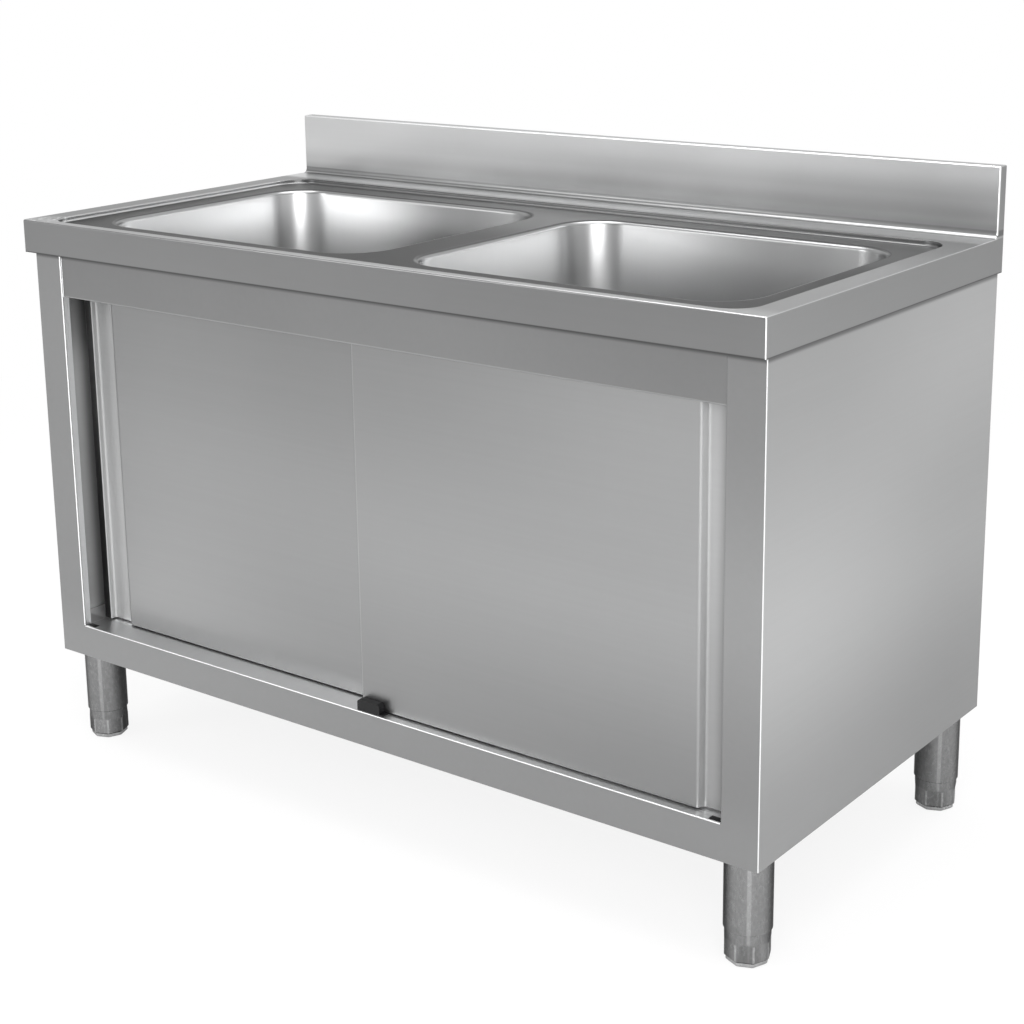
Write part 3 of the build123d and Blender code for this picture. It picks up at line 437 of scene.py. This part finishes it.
# painted light and shade on stiles and rails, a darker top rail, sides painted palest half way up, a pale
# ledge and stile edges, and painted shade under the worktop and deep in the opening
def panelTone(finish, place):
    look = panelLook
    x, y, z = finish.axes(place)
    front = finish.graded(x, z, (-0.60, 0.60), look["front"])
    side = finish.graded(y, z, (-0.25, 0.27), look["side"])
    ledge = finish.graded(x, y, (-0.45, 0.2), look["ledge"])
    between = finish.below(abs(x), openingX - 0.001, openingX - 0.0002)
    onSide = finish.span(abs(x), panelHigh.x - 0.001, panelHigh.x - 0.0002)
    onRail = between * finish.span(z, 0.70, 0.72)
    onLedge = finish.span(z, shelfHigh.z - 0.0015, shelfHigh.z - 0.0003)
    onLedge = onLedge * finish.below(z, shelfHigh.z + 0.001, shelfHigh.z + 0.002)
    onLedge = onLedge * finish.below(abs(x), 0.6415, 0.6425)
    onLedge = onLedge * between.orMore(finish.span(y, -0.3085, -0.3075))
    onReturn = finish.below(abs(x), openingX + 0.0001, openingX + 0.0008) * (1 - between)
    onReturn = onReturn * finish.span(y, panelFront + 0.0015, panelFront + 0.003)
    tone = laid(front, side, onSide)
    tone = laid(tone, finish.span(x, 0.1, 0.6, *look["rail"]), onRail)
    tone = laid(tone, ledge, onLedge)
    tone = laid(tone, look["return"], onReturn)
    tone = laid(tone, finish.span(y, -0.250, -0.222, *look["innerSide"]), onInnerSide(finish, place))
    return tone * finish.span(z, fasciaZ - 0.010, fasciaZ - 0.004, 1.0, look["underWorktop"])


# how far a spot on either door lies from the end with the finger pull, and 1 on the right door
def fromPull(finish, place):
    x, y, _ = finish.axes(place)
    rightDoor = finish.below(y, *betweenDoors)
    return laid(x - leftDoorLow.x, doorHigh.x - x, rightDoor), rightDoor


def inPull(finish, place):
    away, _ = fromPull(finish, place)
    return finish.span(away, 0.014, 0.0155) * finish.below(away, 0.060, 0.063)


# painted light and shade on the doors, with the recess and the lip of their finger pulls, and painted shade
# at the right door's foot
def doorTone(finish, place):
    look = doorLook
    x, _, z = finish.axes(place)
    away, rightDoor = fromPull(finish, place)
    left = finish.graded(x, z, (-0.50, -0.05), look["left"])
    right = finish.graded(x, z, (0.03, 0.52), look["right"])
    rightFootShade = finish.span(z, 0.25, 0.62, look["rightFoot"], 1.0)
    rightRecess = finish.span(away, 0.018, 0.046, *look["rightRecess"])
    rightRecess = (rightRecess + finish.span(away, 0.050, 0.053, 0.0, look["rightRecessEnd"])) * rightFootShade
    recess = laid(finish.span(z, 0.35, 0.65, *look["leftRecess"]), rightRecess, rightDoor)
    lip = laid(finish.span(z, 0.35, 0.65, *look["leftLip"]), look["rightLip"] * rightFootShade, rightDoor)
    tone = laid(laid(left, right, rightDoor), lip, finish.below(away, 0.0135, 0.015))
    return laid(tone, recess, inPull(finish, place))


# painted light on the legs: a highlight line and sheen down one side and shade on the rest; the feet get
# painted shading on their flats, painted highlights at their corners and a paler base
def legTone(finish, place):
    look = legLook
    x, y, z = finish.axes(place)
    tone = look["tone"] * look["shade"]
    for highlightLine in legHighlightLines.values():
        paintedSheen = finish.fold(place, {**highlightLine, "reach": look["paintedSheenReach"], "shine": 1.0})
        tone = tone + look["tone"] * look["paintedSheen"] * paintedSheen
    middle = (footLow + footHigh) / 2
    backMiddle = (backFootLow + backFootHigh) / 2
    acrossX = abs(x) - middle.x
    acrossY = abs(y - (middle.y + backMiddle.y) / 2) - (backFootLow.y - footLow.y) / 2
    turn = acrossY.turnOver(acrossX)
    corner = finish.span((turn * 8).cosine(), 0.86, 1.0) * finish.below(z, 0.030, 0.032)
    flat = finish.span((turn * 3).cosine(), -1.0, 1.0, *look["flats"])
    tone = laid(tone, tone * flat, finish.below(z, 0.030, 0.034)) + look["corners"] * corner
    return laid(tone, look["base"], finish.below(z, 0.0055, 0.0062))


tones = {
    "worktop_steel": worktopTone, "bowl_steel": bowlTone, "panel_steel": panelTone, "door_steel": doorTone,
    "leg_steel": legTone, "foot_plastic": legTone,
}


def steel(name, look):
    finish = Finish(bpy.data.materials.new(name))
    place = finish.place()

    def lines(kind, detail):
        across, along = brushing[kind]
        factors = [along if i == look["grain"] else across for i in range(3)]
        return finish.noise(finish.scaled(place, factors), detail)

    fine, coarse = lines("fine", 1.0), lines("coarse", 2.0)
    cloud = finish.noise(finish.scaled(place, (brushing["clouds"],) * 3), 3.0)
    uneven = brushing["cloudTone"] * (cloud - 0.5)
    strength = 1 + look["streaks"] * (coarse + fine * 0.6 - 0.8) + uneven
    # each piece's tone from the functions above mostly paints light, shade and reflection into its colour
    strength = strength * (tones[name](finish, place) if name in tones else look["tone"])
    rough = look["roughness"] + 2 * look["streaks"] * (fine - 0.5) + uneven
    if "mottle" in look:
        patches = finish.noise(finish.scaled(place, brushing["blotches"]), 3.0)
        strength = strength * (1 + 2 * look["mottle"] * (patches - 0.5))
        rough = rough + 0.25 * (patches - 0.5)
    # painted highlights along the folds and down the legs
    for fold in paintedHighlights.get(name, {}).values():
        strength = laid(strength, highlightTone, finish.fold(place, fold))
    tone = finish.node("CombineColor", None, {0: strength * 0.995, 1: strength, 2: strength * 1.004})[0]
    relief = finish.node("Bump", None, {"Strength": 1.0, "Distance": look["depth"], "Height": fine})[0]
    metal = 1.0
    if name == "door_steel":
        metal = 1 - doorLook["pullDullness"] * inPull(finish, place)
    if name == "panel_steel":
        metal = 1 - panelLook["innerDullness"] * onInnerSide(finish, place)
    shader = finish.node("BsdfPrincipled", None, {
        "Base Color": tone, "Metallic": metal, "Roughness": rough, "Normal": relief,
        "Specular Tint": grey(look.get("edge", 1.0)),
    })[0]
    finish.node("OutputMaterial", None, {0: shader})
    return finish.owner


def moulded(name, look):
    finish = Finish(bpy.data.materials.new(name))
    size = 1 / look["mottle"]
    mottle = finish.noise(finish.scaled(finish.place(), (size, size, size)), 3.0)
    colour = finish.mixed(mottle, [c * 0.85 for c in look["colour"]], [c * 1.15 for c in look["colour"]])
    relief = finish.node("Bump", None, {"Strength": 0.6, "Distance": 0.0001, "Height": mottle})[0]
    shader = finish.node("BsdfPrincipled", None, {
        "Base Color": colour, "Roughness": look["roughness"] + 0.12 * (mottle - 0.5), "Normal": relief,
        "Specular IOR Level": look.get("gloss", 0.5),
    })[0]
    finish.node("OutputMaterial", None, {0: shader})
    return finish.owner


finishes = {name: steel(name, look) for name, look in steelFinishes.items()}
finishes.update({name: moulded(name, look) for name, look in mouldedFinishes.items()})
for subpart in frame["record"]["subparts"]:
    mesh = nodes[subpart["node"]].data
    mesh.materials.clear()
    mesh.materials.append(finishes[subpart["material_slot"]])
print("finishes made:", len(finishes))


# modelling helpers
near = 0.0001


# selects what passes a test of its middle and itself, and leaves the piece in edit mode
def choose(piece, kind, test):
    order = ("points", "edges", "faces")
    if piece.mode == "EDIT":
        bpy.ops.object.mode_set(mode="OBJECT")
    bpy.context.tool_settings.mesh_select_mode = [name == kind for name in order]
    mesh = piece.data
    groups = dict(zip(order, (mesh.vertices, mesh.edges, mesh.polygons)))
    for group in groups.values():
        group.foreach_set("select", [False] * len(group))
    for part in groups[kind]:
        corners = list(part.vertices)
        spots = [mesh.vertices[i].co for i in corners]
        if test(sum(spots, Vector()) / len(spots), part):
            part.select = True
            for i in corners:
                mesh.vertices[i].select = True
    bpy.ops.object.mode_set(mode="EDIT")


def cleanUp():
    bpy.ops.mesh.select_all(action="SELECT")
    bpy.ops.mesh.remove_doubles(threshold=0.00001)
    bpy.ops.mesh.normals_make_consistent(inside=False)


def finishPiece(piece, body, slot, smoothBelow=30):
    if piece.mode == "EDIT":
        bpy.ops.object.mode_set(mode="OBJECT")
    bpy.ops.object.transform_apply(location=True, rotation=True, scale=True)
    bpy.ops.object.shade_smooth_by_angle(angle=math.radians(smoothBelow))
    piece.data.materials.clear()
    piece.data.materials.append(finishes[slot])
    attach(piece, body)


# a finished piece again, with a mesh of its own
def copied(piece, name, shift, body):
    other = piece.copy()
    other.name = name
    other.data = piece.data.copy()
    other.data.transform(Matrix.Translation(shift))
    bpy.context.scene.collection.objects.link(other)
    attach(other, body)
    return other


# bowls: one is pressed from a sheet, the other is its copy
bowlShape = {
    "cornerRadius": 0.076,
    "cornerSteps": 14,
    "lipLand": 0.001,
    "lipRadius": 0.007,
    "depth": 0.250,
    "draft": 2.0,
    "floorRadius": 0.044,
    "dishRadius": 0.055,
    "dishDepth": 0.005,
    "dishSlope": 0.005,
    "dishRound": 0.003,
    "drainHole": 0.0302,
    "sheet": 0.0012,
}


def makeBowl():
    shape = bowlShape
    middle = (bowlLow + bowlHigh) / 2
    half = (bowlHigh - bowlLow) / 2
    floorZ = deckZ - shape["depth"]
    lip = shape["lipLand"] + shape["lipRadius"]

    # how far a spot lies inside the bowl's outline
    def inside(spot):
        past = [abs(spot[i] - middle[i]) - half[i] + shape["cornerRadius"] for i in (0, 1)]
        return shape["cornerRadius"] - math.hypot(max(past[0], 0), max(past[1], 0)) - min(max(past), 0)

    def fromDrain(spot):
        return math.hypot(spot.x - middle.x, spot.y - middle.y)

    def onFloor(spot):
        return abs(spot.z - floorZ) < near

    bpy.ops.object.select_all(action="DESELECT")
    bpy.ops.mesh.primitive_plane_add(size=2, location=(middle.x, middle.y, deckZ))
    piece = bpy.context.object
    piece.name = "pressedBowlRight"
    bpy.ops.object.mode_set(mode="EDIT")
    bpy.ops.transform.resize(value=(half.x, half.y, 1))
    bpy.ops.mesh.bevel(offset=shape["cornerRadius"], segments=shape["cornerSteps"], affect="VERTICES")
    bpy.ops.object.mode_set(mode="OBJECT")
    bpy.ops.object.transform_apply(location=True, rotation=True, scale=True)
    choose(piece, "faces", lambda spot, face: True)
    bpy.ops.mesh.inset(thickness=lip)
    bpy.ops.mesh.extrude_region_move(TRANSFORM_OT_translate={"value": (0, 0, -shape["depth"])})
    narrower = shape["depth"] * math.tan(math.radians(shape["draft"])) + lip
    wall = half - Vector((1, 1, 0)) * lip
    bpy.ops.transform.resize(value=((half.x - narrower) / wall.x, (half.y - narrower) / wall.y, 1))
    choose(piece, "edges", lambda spot, edge: onFloor(spot))
    bpy.ops.mesh.bevel(offset=shape["floorRadius"], segments=12, affect="EDGES")
    choose(piece, "edges", lambda spot, edge: abs(spot.z - deckZ) < near and inside(spot) > 0.006)
    bpy.ops.mesh.bevel(offset=shape["lipRadius"], segments=6, affect="EDGES")
    choose(piece, "faces", lambda spot, face: onFloor(spot) and face.area > 0.01)
    bpy.ops.mesh.delete(type="ONLY_FACE")

    rounds = 4 * (shape["cornerSteps"] + 1)
    dish = shape["dishRadius"]
    bpy.ops.mesh.primitive_circle_add(vertices=rounds, radius=dish, location=(middle.x, middle.y, floorZ))
    choose(piece, "edges", lambda spot, edge: onFloor(spot))
    bpy.ops.mesh.bridge_edge_loops()
    choose(piece, "edges", lambda spot, edge: fromDrain(spot) < dish + 0.001)
    slope = 1 - shape["dishSlope"] / dish
    bpy.ops.mesh.extrude_edges_move(TRANSFORM_OT_translate={"value": (0, 0, -shape["dishDepth"])})
    bpy.ops.transform.resize(value=(slope, slope, 1))
    bpy.ops.mesh.extrude_edges_move(TRANSFORM_OT_translate={"value": (0, 0, 0)})
    hole = shape["drainHole"] / (dish * slope)
    bpy.ops.transform.resize(value=(hole, hole, 1))
    choose(piece, "edges", lambda spot, edge: abs(fromDrain(spot) - dish) < 0.001 and onFloor(spot))
    bpy.ops.mesh.bevel(offset=shape["dishRound"], segments=3, affect="EDGES")

    cleanUp()
    bpy.ops.object.mode_set(mode="OBJECT")
    if min(face.normal.z for face in piece.data.polygons if face.center.z > deckZ - near) < 0:
        piece.data.flip_normals()
    wallSheet = piece.modifiers.new("sheet", "SOLIDIFY")
    wallSheet.thickness = shape["sheet"]
    wallSheet.offset = -1
    bpy.ops.object.modifier_apply(modifier=wallSheet.name)
    finishPiece(piece, "cabinet", "bowl_steel")
    other = copied(piece, "pressedBowlLeft", (-2 * middle.x, 0, 0), "cabinet")
    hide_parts("right_bowl")
    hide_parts("left_bowl")


makeBowl()
print("bowls pressed")


# black plugs in the notches at the shelf's front corners, a dark fill standing in for the shade seen through
# them
plug = {
    "inward": 0.010,  # from the edge of the opening to the notch's middle
    "back": 0.0087,  # from the stiles' front to the notch's middle
    "length": 0.0196,
    "width": 0.0106,
    "height": 0.0016,
    "rim": 0.0004,
    "below": 0.0002,
}


def makePlugs():
    notchX = panelLow.x - plug["inward"]
    baseZ = shelfHigh.z - plug["below"] - plug["height"]
    bpy.ops.object.select_all(action="DESELECT")
    bpy.ops.mesh.primitive_plane_add(size=1, location=(notchX, panelFront + plug["back"], baseZ))
    piece = bpy.context.object
    piece.name = "cornerPlugRight"
    bpy.ops.object.mode_set(mode="EDIT")
    bpy.ops.transform.resize(value=(plug["length"], plug["width"], 1))
    bpy.ops.mesh.extrude_region_move(TRANSFORM_OT_translate={"value": (0, 0, plug["height"])})
    bpy.ops.mesh.select_all(action="SELECT")
    bpy.ops.mesh.normals_make_consistent(inside=False)
    bpy.ops.mesh.bevel(offset=plug["rim"], segments=2, affect="EDGES")
    finishPiece(piece, "cabinet", "guide_plastic")
    copied(piece, "cornerPlugLeft", (-2 * notchX, 0, 0), "cabinet")


makePlugs()
print("corner plugs set")


# feet: eight flats over a pale base, a round neck and the threaded stem, modelled once
foot = {
    "flats": 8,
    "cornerRound": 0.0016,
    "baseReach": 0.0288,
    "baseChamfer": 0.0016,
    "baseHeight": 0.0058,
    "reach": 0.0311,
    "flatTop": 0.0310,
    "neckFoot": 0.0370,
    "neckRadius": 0.0302,
    "neckChamfer": 0.001,
    "gapToTube": 0.0003,
    "stemRadius": 0.008,
    "stemChamfer": 0.002,
}


def makeFeet():
    shape = foot
    middle = (footLow + footHigh) / 2
    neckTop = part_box("front_right_leg_tube")[0].z - shape["gapToTube"]

    def disc(points, radius, height):
        spot = (middle.x, middle.y, height)
        bpy.ops.mesh.primitive_circle_add(vertices=points, radius=radius, fill_type="NGON", location=spot)

    def ring(rise, growth=1.0):
        bpy.ops.mesh.extrude_region_move(TRANSFORM_OT_translate={"value": (0, 0, rise)})
        bpy.ops.transform.resize(value=(growth, growth, 1))

    bpy.ops.object.select_all(action="DESELECT")
    start = shape["baseReach"] - shape["baseChamfer"]
    disc(shape["flats"], start, footLow.z)
    piece = bpy.context.object
    piece.name = "footFrontRight"
    bpy.ops.object.mode_set(mode="EDIT")
    bpy.ops.mesh.bevel(offset=shape["cornerRound"], segments=3, affect="VERTICES")
    ring(shape["baseChamfer"], shape["baseReach"] / start)
    ring(shape["baseHeight"] - shape["baseChamfer"])
    ring(shape["reach"] - shape["baseReach"], shape["reach"] / shape["baseReach"])
    ring(shape["flatTop"] - shape["baseHeight"] - shape["reach"] + shape["baseReach"])
    bpy.ops.mesh.delete(type="ONLY_FACE")
    disc(32, shape["neckRadius"], shape["neckFoot"])
    ring(neckTop - shape["neckFoot"] - shape["neckChamfer"])
    ring(shape["neckChamfer"], 1 - shape["neckChamfer"] / shape["neckRadius"])
    ring(0, shape["stemRadius"] / (shape["neckRadius"] - shape["neckChamfer"]))
    ring(footHigh.z - neckTop - shape["stemChamfer"])
    ring(shape["stemChamfer"], 1 - shape["stemChamfer"] / shape["stemRadius"])
    choose(piece, "faces", lambda spot, face: abs(spot.z - shape["neckFoot"]) < near)
    bpy.ops.mesh.delete(type="ONLY_FACE")
    between = (shape["flatTop"], shape["neckFoot"])
    choose(piece, "edges", lambda spot, edge: min(abs(spot.z - height) for height in between) < near)
    bpy.ops.mesh.bridge_edge_loops()
    cleanUp()
    finishPiece(piece, "front_right_foot_body", "foot_plastic", smoothBelow=13)
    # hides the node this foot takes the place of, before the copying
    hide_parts("front_right_foot")
    for place in ("front_left", "back_right", "back_left"):
        node = place + "_foot"
        low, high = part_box(node)
        name = "foot" + place.title().replace("_", "")
        other = copied(piece, name, (low + high) / 2 - middle, node + "_body")
        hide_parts(node)


makeFeet()
print("feet modelled")


# floor, backdrop and light
studio = {
    "floorSize": 30.0,
    "floorTone": 0.80,
    "seenWhite": 0.86,  # how far the floor goes to plain white where it is seen near the unit
    "shadowReach": (0.9, 3.0),  # between these distances it goes the rest of the way
    "mirroredWhite": 0.20,  # and how far where metal mirrors it
    "skyLow": 0.55,
    "skyHigh": 1.05,
    "mirroredFront": 0.50,  # the backdrop that metal mirrors is dimmer in front of the unit
}
lamps = {
    # middle, what it points at, width and height, watts
    "overheadLamp": {"spot": (0.2, -0.3, 3.1), "aim": (0.0, 0.0, 0.6), "size": (2.8, 1.8), "watts": 80.0},
    "leftLamp": {"spot": (-2.4, -3.2, 1.9), "aim": (-0.2, 0.0, 0.6), "size": (1.0, 1.6), "watts": 29.0},
    "eyeLamp": {"spot": (2.1, -2.6, 1.7), "aim": (0.2, -0.1, 0.5), "size": (1.90, 2.2), "watts": 84.0},
}
camera = {
    "spot": (1.740, -2.220, 1.310), "yaw": 37.51, "pitch": 13.99, "roll": -0.77, "lens": 68.8,
    "film": 36.0, "shiftY": -0.12,
}


# how a surface is met: 1 by the eye or through glass, 1 in a mirror
def met(finish):
    ray = finish.node("LightPath")
    return ray[0] + ray[6], ray[3]


def makeFloor():
    bpy.ops.mesh.primitive_plane_add(size=studio["floorSize"], location=(0, 0, 0))
    floor = bpy.context.object
    floor.name = "studioFloor"
    finish = Finish(bpy.data.materials.new("studioFloorPaint"))
    seen, mirrored = met(finish)
    paint = finish.node("BsdfDiffuse", None, {"Color": grey(studio["floorTone"])})[0]
    white = finish.node("Emission", None, {"Color": grey(1.0), "Strength": 1.0})[0]
    away = finish.length(finish.place())
    share = seen * finish.span(away, *studio["shadowReach"], studio["seenWhite"], 1.0)
    share = share + mirrored * studio["mirroredWhite"]
    shader = finish.node("MixShader", None, {0: share, 1: paint, 2: white})[0]
    finish.node("OutputMaterial", None, {0: shader})
    floor.data.materials.append(finish.owner)


def makeBackdrop():
    world = bpy.data.worlds.new("studioBackdrop")
    bpy.context.scene.world = world
    finish = Finish(world)
    _, y, z = finish.axes(finish.node("TexCoord")[0])
    seen, mirrored = met(finish)
    sky = finish.span(z, -0.1, 0.9, studio["skyLow"], studio["skyHigh"])
    room = finish.span(y, -0.75, 0.25, studio["mirroredFront"], 1.0)
    strength = sky * (1 - seen) * (1 - mirrored) + room * mirrored + seen
    shader = finish.node("Background", None, {"Color": grey(1.0), "Strength": strength})[0]
    finish.node("OutputWorld", None, {0: shader})


def makeLamps():
    for name, look in lamps.items():
        light = bpy.data.lights.new(name, "AREA")
        light.shape = "RECTANGLE"
        light.size, light.size_y = look["size"]
        light.energy = look["watts"]
        lamp = bpy.data.objects.new(name, light)
        lamp.location = look["spot"]
        lamp.rotation_euler = (Vector(look["aim"]) - lamp.location).to_track_quat("-Z", "Y").to_euler()
        lamp.visible_camera = False
        bpy.context.scene.collection.objects.link(lamp)


def makeCamera():
    view = bpy.data.cameras.new("photographView")
    view.lens = camera["lens"]
    view.sensor_width = camera["film"]
    view.shift_y = camera["shiftY"]
    eye = bpy.data.objects.new("photographView", view)
    turn = Matrix.Rotation(math.radians(camera["yaw"]), 4, "Z")
    tilt = Matrix.Rotation(math.radians(90 - camera["pitch"]), 4, "X")
    roll = Matrix.Rotation(math.radians(camera["roll"]), 4, "Z")
    eye.matrix_world = Matrix.Translation(camera["spot"]) @ turn @ tilt @ roll
    bpy.context.scene.collection.objects.link(eye)
    bpy.context.scene.camera = eye


makeFloor()
makeBackdrop()
makeLamps()
makeCamera()
bpy.context.scene.view_settings.view_transform = "Standard"
print("studio set")
